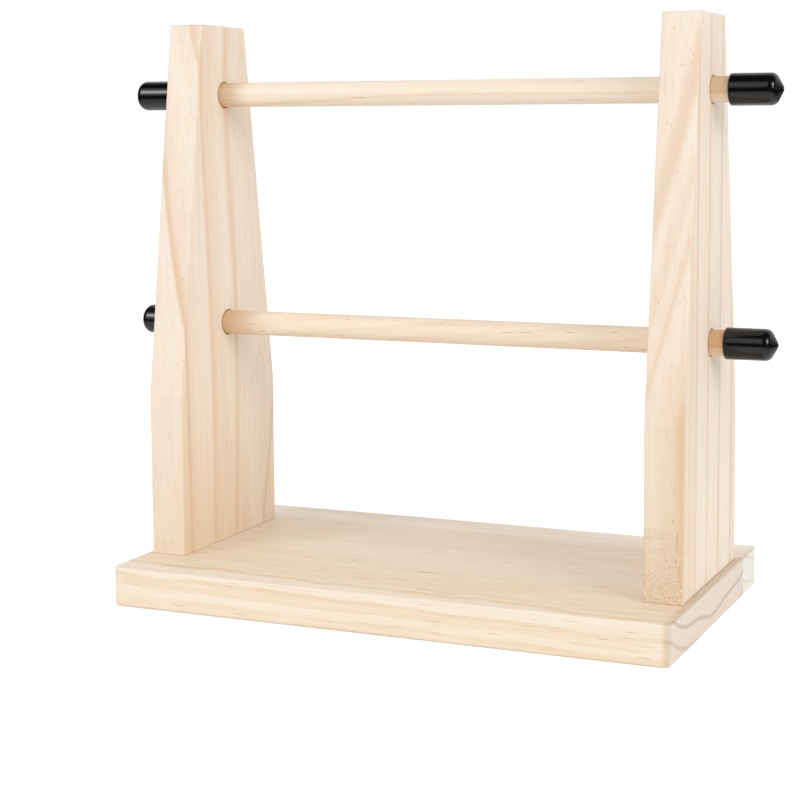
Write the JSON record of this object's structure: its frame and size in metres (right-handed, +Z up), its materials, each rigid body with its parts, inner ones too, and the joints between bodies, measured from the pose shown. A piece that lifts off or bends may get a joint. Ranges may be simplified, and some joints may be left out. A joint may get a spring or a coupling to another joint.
{
  "type": "yarn holder",
  "caption": "Free-standing wooden yarn holder: tapered uprights on a flat base carry loose turning rods for skeins, kept in by push-on end caps.",
  "frame": {"origin": "middle of the base's underside, on the surface that it stands on", "axes": "+X along the rods to the right as pictured, +Y to the back, +Z up"},
  "size_m": [0.363, 0.165, 0.301],
  "materials": {
    "pine_base": "planed and sanded pale pine, unfinished",
    "pine_upright": "planed and sanded pale pine, unfinished",
    "pine_rod": "turned pale pine, unfinished",
    "black_vinyl": "glossy dip-moulded soft vinyl",
    "zinc_steel": "zinc plated"
  },
  "bodies": {
    "stand": {"base_front_board": "pine_base", "base_rear_board": "pine_base", "left_upright": "pine_upright", "right_upright": "pine_upright", "left_front_screw": "zinc_steel", "left_rear_screw": "zinc_steel", "right_front_screw": "zinc_steel", "right_rear_screw": "zinc_steel"},
    "upper_right_cap": {"upper_right_cap": "black_vinyl"},
    "upper_rod": {"upper_rod": "pine_rod"},
    "upper_left_cap": {"upper_left_cap": "black_vinyl"},
    "lower_right_cap": {"lower_right_cap": "black_vinyl"},
    "lower_rod": {"lower_rod": "pine_rod"},
    "lower_left_cap": {"lower_left_cap": "black_vinyl"}
  },
  "joints": [
    {"name": "upper_rod_shift", "type": "slide", "parent": "stand", "child": "upper_right_cap", "axis": [1, 0, 0], "range_m": [-0.00875, 0.00875]},
    {"name": "upper_rod_spin", "type": "hinge", "parent": "upper_right_cap", "child": "upper_rod", "pos_m": [0, 0, 0.264], "axis": [1, 0, 0], "continuous": true},
    {"name": "upper_left_cap_pull", "type": "slide", "parent": "upper_rod", "child": "upper_left_cap", "axis": [-1, 0, 0], "range_m": [0, 0.03]},
    {"name": "lower_rod_shift", "type": "slide", "parent": "stand", "child": "lower_right_cap", "axis": [1, 0, 0], "range_m": [-0.00725, 0.00825]},
    {"name": "lower_rod_spin", "type": "hinge", "parent": "lower_right_cap", "child": "lower_rod", "pos_m": [0, 0, 0.14], "axis": [1, 0, 0], "continuous": true},
    {"name": "lower_left_cap_pull", "type": "slide", "parent": "lower_rod", "child": "lower_left_cap", "axis": [-1, 0, 0], "range_m": [0, 0.03]}
  ]
}
